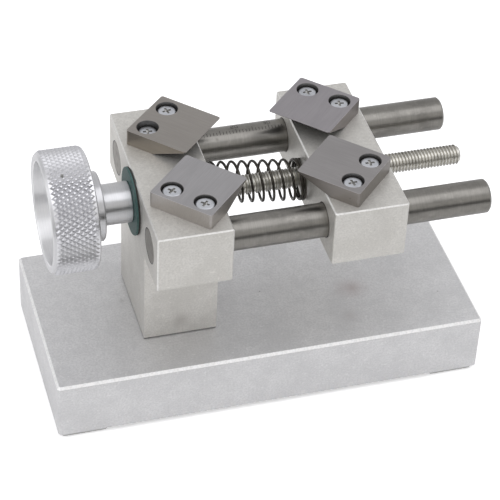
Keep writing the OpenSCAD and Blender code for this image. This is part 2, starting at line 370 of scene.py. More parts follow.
class Finish:
    """The node tree of one material. Sizes are in millimetres on the object."""

    def __init__(self, name, colour, roughness, metallic=1.0, **sockets):
        self.material = bpy.data.materials.new(name)
        self.material.use_nodes = True
        self.tree = self.material.node_tree
        self.shader = self.tree.nodes["Principled BSDF"]
        self.shader.inputs["Metallic"].default_value = metallic
        for socket, value in sockets.items():
            self.shader.inputs[socket.replace("_", " ")].default_value = value
        coordinates = self.node("ShaderNodeTexCoord")
        self.place = self.of_vectors("SCALE", coordinates.outputs["Object"], scale=1 / MM)
        self.colour = colour
        self.roughness = roughness
        self.height = None

    def node(self, kind, **settings):
        """A new node of a kind, with its settings."""
        made = self.tree.nodes.new(kind)
        for key, value in settings.items():
            setattr(made, key, value)
        return made

    def feed(self, socket, value):
        """Links a socket to another socket, or sets it to a plain value."""
        if isinstance(value, bpy.types.NodeSocket):
            self.tree.links.new(value, socket)
        elif isinstance(value, tuple) and len(value) == 3 and socket.type == "RGBA":
            socket.default_value = (*value, 1)
        else:
            socket.default_value = value

    def of_numbers(self, operation, a, b=0.0):
        """Output of a math node."""
        made = self.node("ShaderNodeMath", operation=operation)
        self.feed(made.inputs[0], a)
        self.feed(made.inputs[1], b)
        return made.outputs[0]

    def of_vectors(self, operation, a, b=None, scale=None):
        """Output of a vector math node."""
        made = self.node("ShaderNodeVectorMath", operation=operation)
        self.feed(made.inputs[0], a)
        if b is not None:
            self.feed(made.inputs[1], b)
        if scale is not None:
            made.inputs["Scale"].default_value = scale
        return made.outputs["Value" if operation in ("LENGTH", "DISTANCE") else "Vector"]

    def noise(self, size, stretch=(1, 1, 1), turn=0.0, detail=2.0, sharp=0.5):
        """Cloudy noise with grains of a size, stretched along the axes after a turn about Z."""
        mapping = self.node("ShaderNodeMapping", vector_type="TEXTURE")
        self.feed(mapping.inputs["Vector"], self.place)
        mapping.inputs["Rotation"].default_value = (0, 0, math.radians(turn))
        mapping.inputs["Scale"].default_value = [size * s for s in stretch]
        made = self.node("ShaderNodeTexNoise")
        self.feed(made.inputs["Vector"], mapping.outputs["Vector"])
        made.inputs["Scale"].default_value = 1.0
        made.inputs["Detail"].default_value = detail
        made.inputs["Roughness"].default_value = sharp
        return made.outputs["Fac"]

    def rings(self, size, centre):
        """Noise in fine rings about the line along X through a centre, as a lathe tool leaves them."""
        from_axis = self.of_vectors("SUBTRACT", self.place, centre)
        flat = self.of_vectors("MULTIPLY", from_axis, (0, 1, 1))
        parts = self.node("ShaderNodeSeparateXYZ")
        self.feed(parts.inputs[0], from_axis)
        radius = self.of_vectors("LENGTH", flat)
        along = self.of_numbers("ADD", parts.outputs["X"], radius)
        made = self.node("ShaderNodeTexNoise", noise_dimensions="1D")
        self.feed(made.inputs["W"], self.of_numbers("DIVIDE", along, size))
        made.inputs["Scale"].default_value = 1.0
        made.inputs["Detail"].default_value = 3.0
        return made.outputs["Fac"]

    def between(self, value, low, high):
        """0 below low, 1 above high and smooth between them. Low may be the larger."""
        made = self.node("ShaderNodeMapRange", interpolation_type="SMOOTHSTEP")
        self.feed(made.inputs["Value"], value)
        made.inputs["From Min"].default_value = low
        made.inputs["From Max"].default_value = high
        return made.outputs["Result"]

    def spot(self, centre, radius, ragged=0.0):
        """1 at a point and 0 beyond a radius from it, both in millimetres, with a ragged edge."""
        distance = self.of_vectors("DISTANCE", self.place, centre)
        if ragged:
            wobble = self.of_numbers("MULTIPLY", self.noise(radius), ragged * radius)
            distance = self.of_numbers("ADD", distance, wobble)
        return self.between(distance, radius, 0)

    def tint(self, amount, colour, factor=1.0):
        """Mixes a colour in, as much as amount times factor."""
        if factor != 1.0:
            amount = self.of_numbers("MULTIPLY", amount, factor)
        made = self.node("ShaderNodeMix", data_type="RGBA")
        self.feed(made.inputs["Factor"], amount)
        self.feed(made.inputs["A"], self.colour)
        self.feed(made.inputs["B"], colour)
        self.colour = made.outputs["Result"]

    def patches(self, cloud, low, high, colour, factor):
        """Mixes a colour in where a noise is above high, and none of it where the noise is below low."""
        self.tint(self.between(cloud, low, high), colour, factor)

    def add_spots(self, spots, ragged):
        """Mixes in the colour of each spot, at its place."""
        for spot in spots:
            self.tint(self.spot(spot.centre, spot.radius, ragged), spot.colour, spot.strength)

    def roughen(self, amount, change):
        """Adds a change of roughness where amount is 1."""
        self.roughness = self.of_numbers("ADD", self.of_numbers("MULTIPLY", amount, change), self.roughness)

    def raise_by(self, amount, height):
        """Adds a relief of a height in millimetres where amount is 1."""
        relief = self.of_numbers("MULTIPLY", amount, height)
        self.height = relief if self.height is None else self.of_numbers("ADD", self.height, relief)

    def done(self):
        """Links what was gathered to the shader, and returns the material."""
        self.feed(self.shader.inputs["Base Color"], self.colour)
        self.feed(self.shader.inputs["Roughness"], self.roughness)
        if self.height is not None:
            bump = self.node("ShaderNodeBump")
            bump.inputs["Distance"].default_value = MM
            bump.inputs["Strength"].default_value = 1.0
            self.feed(bump.inputs["Height"], self.height)
            self.feed(self.shader.inputs["Normal"], bump.outputs["Normal"])
        return self.material


def scaled(colour, factor):
    """A colour times a factor."""
    return tuple(min(1, factor * c) for c in colour)


def blasted_aluminium(name, colour, dull, pitted, marks_and_reflections=()):
    """Fine-blasted aluminium: pale, satin, cloudy and grainy."""
    skin = Finish(name, colour, roughness=0.45, metallic=0.72)
    clouds = skin.noise(14, detail=3)
    skin.patches(clouds, 0.35, 0.7, dull, 0.8)
    mottle = skin.noise(3.5, detail=4, sharp=0.6)
    skin.patches(mottle, 0.4, 0.7, dull, 0.5)
    grain = skin.noise(0.6, detail=3, sharp=0.6)
    skin.patches(grain, 0.35, 0.7, scaled(dull, 0.88), 0.6)
    glints = skin.noise(0.9, detail=2)
    skin.patches(glints, 0.6, 0.75, scaled(colour, 1.12), 0.5)
    worn = skin.between(skin.noise(9, detail=3), 0.5, 0.65)
    pits = skin.between(skin.noise(0.75, detail=2, sharp=0.6), 0.64, 0.76)
    skin.tint(skin.of_numbers("MULTIPLY", pits, worn), scaled(dull, 0.5), pitted)
    # Spots laid on top: specks and patches, some of them a painted reflection
    skin.add_spots(marks_and_reflections, ragged=0.7)
    skin.roughen(clouds, 0.08)
    skin.raise_by(grain, 0.03)
    skin.raise_by(skin.noise(2.5, detail=1), 0.02)
    return skin.done()


def cut_aluminium(name, colour):
    """Machined aluminium with tiny chatter along the cut: bright on the chamfers, where it is partly a
    painted highlight, and near black in the bores, where it is painted shade.
    """
    skin = Finish(name, colour, roughness=0.35, metallic=0.8)
    skin.patches(skin.noise(0.6, detail=3), 0.35, 0.7, scaled(colour, 0.8), 0.7)
    skin.raise_by(skin.noise(0.4, detail=2), 0.02)
    return skin.done()


def turned_aluminium(name, colour, marks=()):
    """Bright turned aluminium with fine tool rings about the knob's axis. Its brighter copy inside the
    knob's hollow is painted light.
    """
    skin = Finish(name, colour, roughness=0.36, Anisotropic=0.85, Anisotropic_Rotation=0.25)
    round_axis = skin.node("ShaderNodeTangent", direction_type="RADIAL", axis="X")
    skin.feed(skin.shader.inputs["Tangent"], round_axis.outputs["Tangent"])
    rings = skin.rings(0.16, (0, 0, AXIS_Z / MM))
    skin.patches(rings, 0.3, 0.75, scaled(colour, 0.84), 0.7)
    skin.patches(skin.noise(5, detail=3), 0.45, 0.75, scaled(colour, 0.88), 0.5)
    skin.add_spots(marks, ragged=0.5)
    skin.roughen(skin.noise(3), 0.1)
    skin.raise_by(rings, 0.018)
    return skin.done()


def knurled_aluminium(name, colour, marks=()):
    """Rolled knurl with a little dirt. Its darker copy on the pyramids' sides is dirt and painted shade in
    the valleys.
    """
    skin = Finish(name, colour, roughness=0.34, metallic=0.95)
    skin.patches(skin.noise(1.2, detail=3), 0.4, 0.75, scaled(colour, 0.84), 0.7)
    skin.patches(skin.noise(7, detail=2), 0.5, 0.75, scaled(colour, 0.93), 0.5)
    skin.add_spots(marks, ragged=0.3)
    skin.raise_by(skin.noise(0.3, detail=2), 0.012)
    return skin.done()


def ground_steel(name, colour, stains=()):
    """Centreless-ground rod: fine hoops round it and a faint cloudy stain."""
    skin = Finish(name, colour, roughness=0.25)
    hoops = skin.noise(0.22, stretch=(1, 30, 30), detail=3)
    skin.patches(hoops, 0.35, 0.7, scaled(colour, 0.82), 0.6)
    stain = skin.noise(5, stretch=(1.6, 1, 1), detail=4, sharp=0.6)
    skin.patches(stain, 0.45, 0.7, scaled(colour, 0.68), 0.8)
    skin.patches(skin.noise(2, detail=3), 0.55, 0.75, scaled(colour, 1.2), 0.6)
    skin.add_spots(stains, ragged=0.6)
    skin.roughen(stain, 0.12)
    skin.raise_by(hoops, 0.004)
    skin.raise_by(skin.noise(1.4, stretch=(1, 4, 4)), 0.006)
    return skin.done()


def blade_steel(name, colour, turn):
    """Surface-ground hardened steel, with grinding lines along the blade."""
    skin = Finish(name, colour, roughness=0.33)
    lines = skin.noise(0.25, stretch=(30, 1, 3), turn=turn, detail=3)
    skin.patches(lines, 0.35, 0.7, scaled(colour, 0.86), 0.7)
    clouds = skin.noise(8, stretch=(2, 1, 1), turn=turn, detail=3)
    skin.patches(clouds, 0.4, 0.75, scaled(colour, 0.88), 0.6)
    skin.patches(skin.noise(0.9, detail=2), 0.72, 0.8, scaled(colour, 0.4), 0.5)
    skin.roughen(clouds, 0.1)
    skin.raise_by(lines, 0.005)
    return skin.done()


def plated_steel(name, colour, roughness, grain=0.5):
    """Zinc-plated or blackened steel: smooth, faintly uneven and dirty. Its darker copies in the cross
    recesses and on the slopes under the blades' knife edges are painted shade.
    """
    skin = Finish(name, colour, roughness)
    clouds = skin.noise(grain * 4, detail=3)
    skin.patches(clouds, 0.4, 0.75, scaled(colour, 0.72), 0.7)
    skin.patches(skin.noise(grain, detail=2), 0.62, 0.78, scaled(colour, 0.5), 0.5)
    skin.roughen(clouds, 0.12)
    skin.raise_by(skin.noise(grain * 0.6, detail=2), 0.006)
    return skin.done()


def fibre(name, colour):
    """Pressed fibre, dark and a little mottled."""
    skin = Finish(name, colour, roughness=0.55, metallic=0.0)
    skin.patches(skin.noise(0.9, detail=4), 0.35, 0.7, scaled(colour, 0.65), 0.8)
    strands = skin.noise(0.3, stretch=(1, 5, 1), detail=2)
    skin.patches(strands, 0.6, 0.8, scaled(colour, 2), 0.6)
    skin.raise_by(skin.noise(0.3, detail=3), 0.02)
    return skin.done()


def pad_rubber(name):
    """Grey rubber with a dusty grain."""
    skin = Finish(name, (0.52, 0.52, 0.51), roughness=0.75, metallic=0.0)
    skin.patches(skin.noise(2.5, detail=4), 0.35, 0.75, (0.40, 0.40, 0.39), 0.8)
    skin.patches(skin.noise(0.3, detail=2), 0.6, 0.8, (0.62, 0.62, 0.60), 0.5)
    skin.raise_by(skin.noise(0.3, detail=3), 0.03)
    return skin.done()


def etched_mark(name):
    """Dull grey of an etched scale line."""
    skin = Finish(name, (0.09, 0.086, 0.08), roughness=0.5)
    skin.patches(skin.noise(0.4, detail=3), 0.4, 0.7, (0.16, 0.155, 0.145), 0.8)
    skin.raise_by(skin.noise(0.2), 0.01)
    return skin.done()


# A mark on a surface: its centre and radius in millimetres, its colour, and how strongly it shows
Spot = namedtuple("Spot", "centre radius colour strength")

BASE_TOP = BASE_HI[2] / MM
TURNED_MARKS = (Spot((-46.7, -9.6, 64.4), 1.3, (0.16, 0.15, 0.12), 0.75),)
KNURL_MARKS = (
    Spot((-57.4, -5.4, 78.2), 1.0, (0.05, 0.05, 0.02), 1.0),
    Spot((-50.6, -16.9, 60.5), 0.5, (0.15, 0.15, 0.14), 0.9),
)
ROD_STAINS = (Spot((-6.3, 17.5, 65.2), 1.2, (0.12, 0.115, 0.10), 0.7),)
BASE_SMUDGES_AND_REFLECTIONS = (
    # The next two: broad warm darker patches in front of the moving jaw, a painted reflection of the jaw and
    # its blades
    Spot((31.0, -7.5, BASE_TOP), 10.0, (0.46, 0.39, 0.385), 0.8),
    Spot((26.0, -19.0, BASE_TOP), 7.0, (0.50, 0.46, 0.455), 0.6),
    Spot((3.0, -2.4, BASE_TOP), 0.6, (0.08, 0.075, 0.07), 1.0),
    Spot((56.0, -14.7, BASE_TOP), 0.6, (0.08, 0.075, 0.07), 1.0),
    Spot((-38.6, 3.0, BASE_TOP), 2.0, (0.30, 0.29, 0.28), 0.4),
)
# A darker patch on the front of the fixed jaw's pedestal
JAW_DARK_PATCH = (Spot((-25.0, -15.0, 26.0), 6.0, (0.42, 0.40, 0.375), 0.8),)
BASE_ALUMINIUM = (0.765, 0.762, 0.765)
BASE_DULL = (0.67, 0.668, 0.672)
JAW_ALUMINIUM = (0.705, 0.69, 0.655)
JAW_DULL = (0.615, 0.60, 0.565)

SKINS = {
    "base": blasted_aluminium("base_aluminium_skin", BASE_ALUMINIUM, BASE_DULL, 0.3, BASE_SMUDGES_AND_REFLECTIONS),
    "jaw": blasted_aluminium("jaw_aluminium_skin", JAW_ALUMINIUM, JAW_DULL, 0.8, JAW_DARK_PATCH),
    # Chamfers cut through the blasted skin are brighter: partly bare metal, partly a painted highlight
    "base_chamfer_cut_and_highlight": cut_aluminium("base_chamfer_skin", (0.96, 0.955, 0.95)),
    "jaw_chamfer_cut_and_highlight": cut_aluminium("jaw_chamfer_skin", (0.82, 0.81, 0.785)),
    # Near-black aluminium in bores and counterbores and under the fixed jaw's foot: painted shade
    "bore": cut_aluminium("painted_shade_bore_skin", (0.16, 0.155, 0.15)),
    # Darker zinc inside the screws' cross recesses: painted shade
    "recess": plated_steel("painted_shade_recess_skin", (0.52, 0.515, 0.50), roughness=0.5),
    # Near-black steel on the slope under each blade's knife edge: painted shade where the blade overhangs
    # the jaw
    "bevel": plated_steel("painted_shade_bevel_skin", (0.04, 0.037, 0.032), roughness=0.5, grain=0.8),
    "turned": turned_aluminium("turned_aluminium_skin", (0.74, 0.74, 0.752), TURNED_MARKS),
    # Brighter turned aluminium inside the knob's hollow: painted light where little lamp light reaches
    "cup": turned_aluminium("knob_cup_painted_light_skin", (0.97, 0.97, 0.975)),
    "knurl": knurled_aluminium("knurl_skin", (0.80, 0.80, 0.82), KNURL_MARKS),
    # Darker knurl on the pyramids' sides down to the valleys: partly dirt, partly painted shade
    "knurl_valley_dirt_and_shade": knurled_aluminium("knurl_valley_skin", (0.64, 0.64, 0.66), KNURL_MARKS),
    "rod": ground_steel("rod_steel_skin", (0.262, 0.252, 0.232), ROD_STAINS),
    "rod_end": plated_steel("rod_end_skin", (0.30, 0.285, 0.262), roughness=0.4),
    "screw": plated_steel("lead_screw_skin", (0.66, 0.645, 0.60), roughness=0.27, grain=0.7),
    "spring": plated_steel("spring_wire_skin", (0.07, 0.064, 0.055), roughness=0.3, grain=0.6),
    "zinc": plated_steel("screw_head_skin", (0.64, 0.655, 0.69), roughness=0.32, grain=0.8),
    "black": plated_steel("black_oxide_skin", (0.05, 0.05, 0.052), roughness=0.35, grain=0.6),
    "fibre": fibre("green_fibre_skin", (0.043, 0.110, 0.102)),
    # Near-black rim beside the jaw: brown fibre edge and painted shadow of the gap
    "fibre_rim": fibre("dark_fibre_rim_and_shadow_skin", (0.013, 0.011, 0.008)),
    "pad": pad_rubber("pad_rubber_skin"),
    "mark": etched_mark("scale_mark_skin"),
}
BLOCK_SKINS = {
    "base": (SKINS["base"], SKINS["base_chamfer_cut_and_highlight"], SKINS["bore"]),
    "jaw": (SKINS["jaw"], SKINS["jaw_chamfer_cut_and_highlight"], SKINS["bore"]),
}


# ---- base plate and pads


def make_cutter(bm, material_index, skins):
    """Solid to cut with, which gives the cut faces one of its materials."""
    for face in bm.faces:
        face.material_index = material_index
    return make_object("cutter", bm, skins)


def bore_cutter(lo_x, hi_x, y, radius, flare):
    """Solid that cuts a bore along X through a block, with a flared mouth on both faces."""
    bm = bmesh.new()
    reach = flare + PAST_FACE
    profile = [
        (lo_x - PAST_FACE, radius + reach),
        (lo_x + flare, radius),
        (hi_x - flare, radius),
        (hi_x + PAST_FACE, radius + reach),
    ]
    lathe(bm, profile, (0, y, AXIS_Z))
    return make_cutter(bm, BORE, BLOCK_SKINS["jaw"])


def hole_cutter(x, y, profile, steps=FINE_STEPS):
    """Solid that cuts a round hole along Z."""
    bm = bmesh.new()
    lathe(bm, profile, (x, y, 0), axis="Z", steps=steps)
    return make_cutter(bm, BORE, BLOCK_SKINS["jaw"])


def centre_of(node):
    """Middle of a CAD node's box."""
    lo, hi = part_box(node)
    return (Vector(lo) + Vector(hi)) / 2


def block(name, lo, hi, corner, chamfer, skins):
    """Block with softly rounded upright corners and chamfered rims."""
    bm = bmesh.new()
    middle = (Vector(lo) + Vector(hi)) / 2
    half = (Vector(hi) - Vector(lo)) / 2
    outline = [(x + middle.x, y + middle.y) for x, y in rounded_rectangle(half.x, half.y, corner)]
    prism(bm, outline, lo[2], hi[2])
    bevel(bm, sharp_edges(bm), chamfer, BLOCK_CHAMFER)
    return make_object(name, bm, skins)


def build_base_plate():
    """Thick plate, counterbored from below for the two screws that hold the fixed jaw."""
    piece = block("base_plate_detail", BASE_LO, BASE_HI, BASE_CORNER, BASE_CHAMFER, BLOCK_SKINS["base"])
    counterbore_top = BASE_LO[2] + BASE_BORE_H
    rim_break = 0.3 * MM
    profile = [
        (BASE_LO[2] - PAST_FACE, BASE_BORE_R + rim_break + PAST_FACE),
        (BASE_LO[2] + rim_break, BASE_BORE_R),
        (counterbore_top, BASE_BORE_R),
        (counterbore_top, BASE_HOLE_R),
        (BASE_HI[2] + PAST_FACE, BASE_HOLE_R),
    ]
    for node in ("base_screw_front", "base_screw_back"):
        centre = centre_of(node)
        cut(piece, hole_cutter(centre.x, centre.y, profile))
    finish(piece, "base", "base_aluminium", "base_plate")


def build_foot_pads():
    """Thin rubber pads under the plate's corners."""
    skins = (SKINS["pad"],) * 2
    for end in ("front_left", "front_right", "back_left", "back_right"):
        lo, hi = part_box(f"foot_pad_{end}")
        piece = block(f"foot_pad_{end}_detail", lo, hi, PAD_CORNER, PAD_EDGE_ROUND, skins)
        finish(piece, "base", "grey_pad", f"foot_pad_{end}")


# ---- jaws


def build_fixed_jaw():
    """T-shaped block: a wide head on a narrower pedestal, bored for the rods and the lead screw."""
    bm = bmesh.new()
    foot = PEDESTAL_HALF_D
    front, back = FIXED_LO[1], FIXED_HI[1]
    bottom, top = FIXED_LO[2], FIXED_HI[2]
    outline = [
        (-foot, bottom), (foot, bottom), (foot, JAW_BOTTOM), (back, JAW_BOTTOM),
        (back, top), (front, top), (front, JAW_BOTTOM), (-foot, JAW_BOTTOM),
    ]
    rows = []
    for x in (FIXED_LO[0], FIXED_HI[0]):
        rows.append([bm.verts.new((x, y, z)) for y, z in outline])
    loft(bm, rows)
    rims = []
    foot_edges = []
    for edge in sharp_edges(bm):
        on_foot = max(v.co.z for v in edge.verts) < bottom + MM
        (foot_edges if on_foot else rims).append(edge)
    # The foot's chamfer takes the near-black bore colour: a painted shadow line along the plate
    bevel(bm, foot_edges, CONTACT_CHAMFER, BORE)
    bevel(bm, [e for e in rims if e.is_valid], JAW_CHAMFER, BLOCK_CHAMFER)
    piece = make_object("fixed_jaw_block_detail", bm, BLOCK_SKINS["jaw"])
    bore_jaw(piece, FIXED_LO[0], FIXED_HI[0])
    finish(piece, "base", "jaw_aluminium", "fixed_jaw_block")


def build_moving_jaw():
    """Plain block that slides on the rods."""
    skins = BLOCK_SKINS["jaw"]
    piece = block("moving_jaw_block_detail", MOVING_LO, MOVING_HI, JAW_CORNER, JAW_CHAMFER, skins)
    bore_jaw(piece, MOVING_LO[0], MOVING_HI[0])
    finish(piece, "moving_jaw", "jaw_aluminium", "moving_jaw_block")


def bore_jaw(piece, lo_x, hi_x):
    """Cuts a jaw's three bores."""
    for y in (-ROD_Y, ROD_Y):
        cut(piece, bore_cutter(lo_x, hi_x, y, ROD_R + BORE_GAP, ROD_BORE_FLARE))
    cut(piece, bore_cutter(lo_x, hi_x, 0, SCREW_R + BORE_GAP, SCREW_BORE_FLARE))


# ---- rods, scale and lead screw


def build_rods():
    """Two ground guide rods, flush with the fixed jaw's outer face and chamfered at their free ends."""
    for side, y in (("front", -ROD_Y), ("back", ROD_Y)):
        bm = bmesh.new()
        profile = [
            (ROD_LO[0], ROD_R - ROD_FLUSH_CHAMFER),
            (ROD_LO[0] + ROD_FLUSH_CHAMFER, ROD_R),
            (ROD_HI[0] - ROD_END_CHAMFER, ROD_R),
            (ROD_HI[0], ROD_R - ROD_END_CHAMFER),
        ]
        lathe(bm, profile, (0, y, AXIS_Z))
        for face in bm.faces:
            if len(face.verts) > 4:
                face.material_index = ROD_END
        piece = make_object(f"guide_rod_{side}_detail", bm, (SKINS["rod"], SKINS["rod_end"]))
        finish(piece, "base", "rod_steel", f"guide_rod_{side}")


# Strokes of the scale's digits, in a cell 0.6 wide and 1 high
DIGITS = {
    "0": [[(0, 0), (0.6, 0), (0.6, 1), (0, 1), (0, 0)]],
    "1": [[(0.1, 0.8), (0.35, 1), (0.35, 0)]],
    "2": [[(0, 1), (0.6, 1), (0.6, 0.5), (0, 0.5), (0, 0), (0.6, 0)]],
    "3": [[(0, 1), (0.6, 1), (0.6, 0), (0, 0)], [(0.1, 0.5), (0.6, 0.5)]],
}


def add_stroke(bm, start, end):
    """Thin raised line on the back rod. Points are place along X and distance round the rod from its top."""
    lift = 0.008 * MM
    sunk = 0.05 * MM
    step = 0.25 * MM
    a = Vector(start)
    b = Vector(end)
    along = (b - a).normalized()
    across = Vector((-along.y, along.x)) * STROKE_W / 2
    pieces = max(1, round((b - a).length / step))
    rows = []
    for i in range(pieces + 1):
        middle = a.lerp(b, i / pieces)
        row = []
        for side, radius in ((1, ROD_R + lift), (-1, ROD_R + lift), (-1, ROD_R - sunk), (1, ROD_R - sunk)):
            point = middle + side * across
            angle = point.y / ROD_R
            y = ROD_Y - radius * math.sin(angle)
            z = AXIS_Z + radius * math.cos(angle)
            row.append(bm.verts.new((point.x, y, z)))
        rows.append(row)
    loft(bm, rows)


def build_scale():
    """Generic millimetre scale on the back rod: short ticks, long ticks and numbers every ten."""
    bm = bmesh.new()
    for i in range(SCALE_TICKS):
        x = SCALE_START_X + i * MM
        tick_end = SCALE_BASELINE - (LONG_TICK if i % 5 == 0 else SHORT_TICK)
        add_stroke(bm, (x, SCALE_BASELINE), (x, tick_end))
        if i % 10 == 0:
            add_number(bm, str(FIRST_NUMBER + i), x, tick_end - DIGIT_GAP)
    piece = make_object("guide_rod_back_scale", bm, (SKINS["mark"],))
    finish(piece, "base", "rod_steel")


def add_number(bm, text, x, foot):
    """A number centred over a tick, its foot towards the front."""
    start = x - DIGIT_PITCH * len(text) / 2
    for place, digit in enumerate(text):
        left = start + place * DIGIT_PITCH
        for line in DIGITS[digit]:
            points = [(left + px * DIGIT_H, foot - py * DIGIT_H) for px, py in line]
            for a, b in zip(points, points[1:]):
                add_stroke(bm, a, b)


def add_thread(bm, start, turns):
    """Skin of a thread about the lead screw's axis, open at both ends."""
    columns = []
    for i in range(THREAD_STEPS):
        angle = 2 * math.pi * i / THREAD_STEPS
        column = []
        for turn in range(turns):
            for share, depth in THREAD:
                x = start + THREAD_PITCH * (turn + share + i / THREAD_STEPS)
                y = (SCREW_R - depth) * math.cos(angle)
                z = AXIS_Z + (SCREW_R - depth) * math.sin(angle)
                column.append(bm.verts.new((x, y, z)))
        columns.append(column)
    for i in range(THREAD_STEPS):
        shift = len(THREAD) if i == THREAD_STEPS - 1 else 0
        this = columns[i]
        following = columns[(i + 1) % THREAD_STEPS]
        for k in range(len(this) - 1 - shift):
            bm.faces.new((this[k], this[k + 1], following[k + 1 + shift], following[k + shift]))


def cap_screw(bm, end, outwards):
    """Cuts the thread off square at one end, closes it and chamfers it."""
    slice_off(bm, (end, 0, 0), (outwards, 0, 0))
    for vertex in bm.verts:
        limit = SCREW_R - SCREW_CHAMFER + abs(vertex.co.x - end)
        away = Vector((0, vertex.co.y, vertex.co.z - AXIS_Z))
        if away.length > limit:
            away.length = limit
            vertex.co = Vector((vertex.co.x, away.y, AXIS_Z + away.z))


def build_lead_screw():
    """Rod with a real M6 x 1 thread and chamfered ends."""
    bm = bmesh.new()
    turns = math.ceil((SCREW_HI[0] - SCREW_LO[0]) / THREAD_PITCH) + 3
    add_thread(bm, SCREW_LO[0] - 2 * THREAD_PITCH, turns)
    cap_screw(bm, SCREW_LO[0], -1)
    cap_screw(bm, SCREW_HI[0], 1)
    piece = make_object("lead_screw_detail", bm, (SKINS["screw"],))
    finish(piece, "knob", "screw_steel", "lead_screw")


# ---- knob and washer


RIM_R = (KNOB_HI[2] - KNOB_LO[2]) / 2
FACE_X = KNOB_LO[0]
HUB_END = KNOB_HI[0]
STEP_END = HUB_END - HUB_L
RIM_END = STEP_END - STEP_L


def rim_radius(x):
    """Radius of the knob's rim: a chamfer at its outer end and a rounding at its hub end."""
    from_face = x - FACE_X
    if from_face < RIM_CHAMFER:
        return RIM_R - RIM_CHAMFER + from_face
    into_round = x - (RIM_END - RIM_ROUND)
    if into_round > 0:
        return RIM_R - RIM_ROUND + math.sqrt(max(0, RIM_ROUND ** 2 - into_round ** 2))
    return RIM_R


def knob_ring(bm, x, radius):
    """Circle of vertices about the knob's axis, two for each diamond of the knurl."""
    return ring(bm, (x, 0, AXIS_Z), radius, "X", 2 * KNURL_COUNT)


def knurl_valleys(bm):
    """Circles of vertices at the bottom of the knurl, from the outer face to the step."""
    left_x = FACE_X + RIM_CHAMFER - KNURL_DEPTH
    into_round = math.sqrt(RIM_ROUND ** 2 - (RIM_ROUND - KNURL_DEPTH) ** 2)
    right_x = RIM_END - RIM_ROUND + into_round
    rows = []
    for j in range(KNURL_ROWS + 1):
        x = left_x + (right_x - left_x) * j / KNURL_ROWS
        rows.append(knob_ring(bm, x, min(RIM_R - KNURL_DEPTH, rim_radius(x))))
    return rows


def add_face_and_cup(bm, outer):
    """Knob's outer face and the round hollow in it, inwards from the knurl's first circle."""
    floor_x = FACE_X + CUP_DEPTH
    part_fillet = 0.3 * CUP_FILLET
    profile = [
        (FACE_X, RIM_R - RIM_CHAMFER), (FACE_X, CUP_R + CUP_EDGE), (FACE_X + CUP_EDGE, CUP_R),
        (floor_x - CUP_FILLET, CUP_R), (floor_x - part_fillet, CUP_R - part_fillet),
        (floor_x, CUP_R - CUP_FILLET), (floor_x, CUP_R / 2), (floor_x, CUP_R / 6),
    ]
    for x, radius in profile:
        inner = knob_ring(bm, x, radius)
        bridge(bm, inner, outer, KNOB_CUP if radius <= CUP_R else KNOB_TURNED)
        outer = inner
    bm.faces.new(outer).material_index = KNOB_CUP


def add_step_and_hub(bm, row):
    """Rounding, step and hub of the knob, from the knurl's last circle to the washer."""
    profile = []
    round_start = math.degrees(math.acos((RIM_ROUND - KNURL_DEPTH) / RIM_ROUND))
    for angle in range(math.ceil(round_start) + 5, 91, 8):
        drop = math.radians(angle)
        x = RIM_END - RIM_ROUND + RIM_ROUND * math.sin(drop)
        profile.append((x, RIM_R - RIM_ROUND + RIM_ROUND * math.cos(drop)))
    profile += [
        (RIM_END, STEP_R + HUB_FILLET),
        (RIM_END + HUB_FILLET, STEP_R),
        (STEP_END - STEP_CHAMFER, STEP_R),
        (STEP_END, STEP_R - STEP_CHAMFER),
        (STEP_END, HUB_R + HUB_FILLET),
        (STEP_END + HUB_FILLET, HUB_R),
        (HUB_END - HUB_CHAMFER, HUB_R),
        (HUB_END, HUB_R - HUB_CHAMFER),
    ]
    for x, radius in profile:
        following = knob_ring(bm, x, radius)
        bridge(bm, row, following, KNOB_TURNED)
        row = following
    bm.faces.new(row).material_index = KNOB_TURNED


def build_knob():
    """Turned knob: hollow outer face, knurled rim, step and hub."""
    bm = bmesh.new()
    valleys = knurl_valleys(bm)
    add_knurl(bm, valleys)
    add_face_and_cup(bm, valleys[0])
    add_step_and_hub(bm, valleys[-1])
    skins = [SKINS[skin] for skin in ("knurl", "turned", "knurl_valley_dirt_and_shade", "cup")]
    piece = make_object("knob_detail", bm, skins)
    finish(piece, "knob", "knob_aluminium", "knob")


def add_knurl(bm, valleys):
    """Diamond knurl between rows of valley vertices: every odd crossing carries a blunt pyramid."""
    steps = len(valleys[0])
    last = len(valleys) - 1
    odd = []
    for j, row in enumerate(valleys):
        for i in range(steps):
            if (i + j) % 2:
                odd.append((i, j))
    for i, j in odd:
        row = valleys[j]
        left = row[i - 1]
        right = row[(i + 1) % steps]
        if j in (0, last):
            inner = valleys[1][i] if j == 0 else valleys[last - 1][i]
            bm.faces.new((left, row[i], inner))
            bm.faces.new((row[i], right, inner))
            continue
        corners = (left, valleys[j - 1][i], right, valleys[j + 1][i])
        top = []
        for corner in corners:
            point = corner.co.lerp(row[i].co, KNURL_TOP)
            away = Vector((0, point.y, point.z - AXIS_Z))
            away.length = rim_radius(point.x)
            top.append(bm.verts.new((point.x, away.y, AXIS_Z + away.z)))
        bm.faces.new(top)
        for k in range(4):
            n = (k + 1) % 4
            # The pyramid's sides take the darker valley colour: dirt and painted shade
            bm.faces.new((corners[k], corners[n], top[n], top[k])).material_index = KNOB_VALLEY
    for i, j in odd:
        if 0 < j < last:
            bm.verts.remove(valleys[j][i])


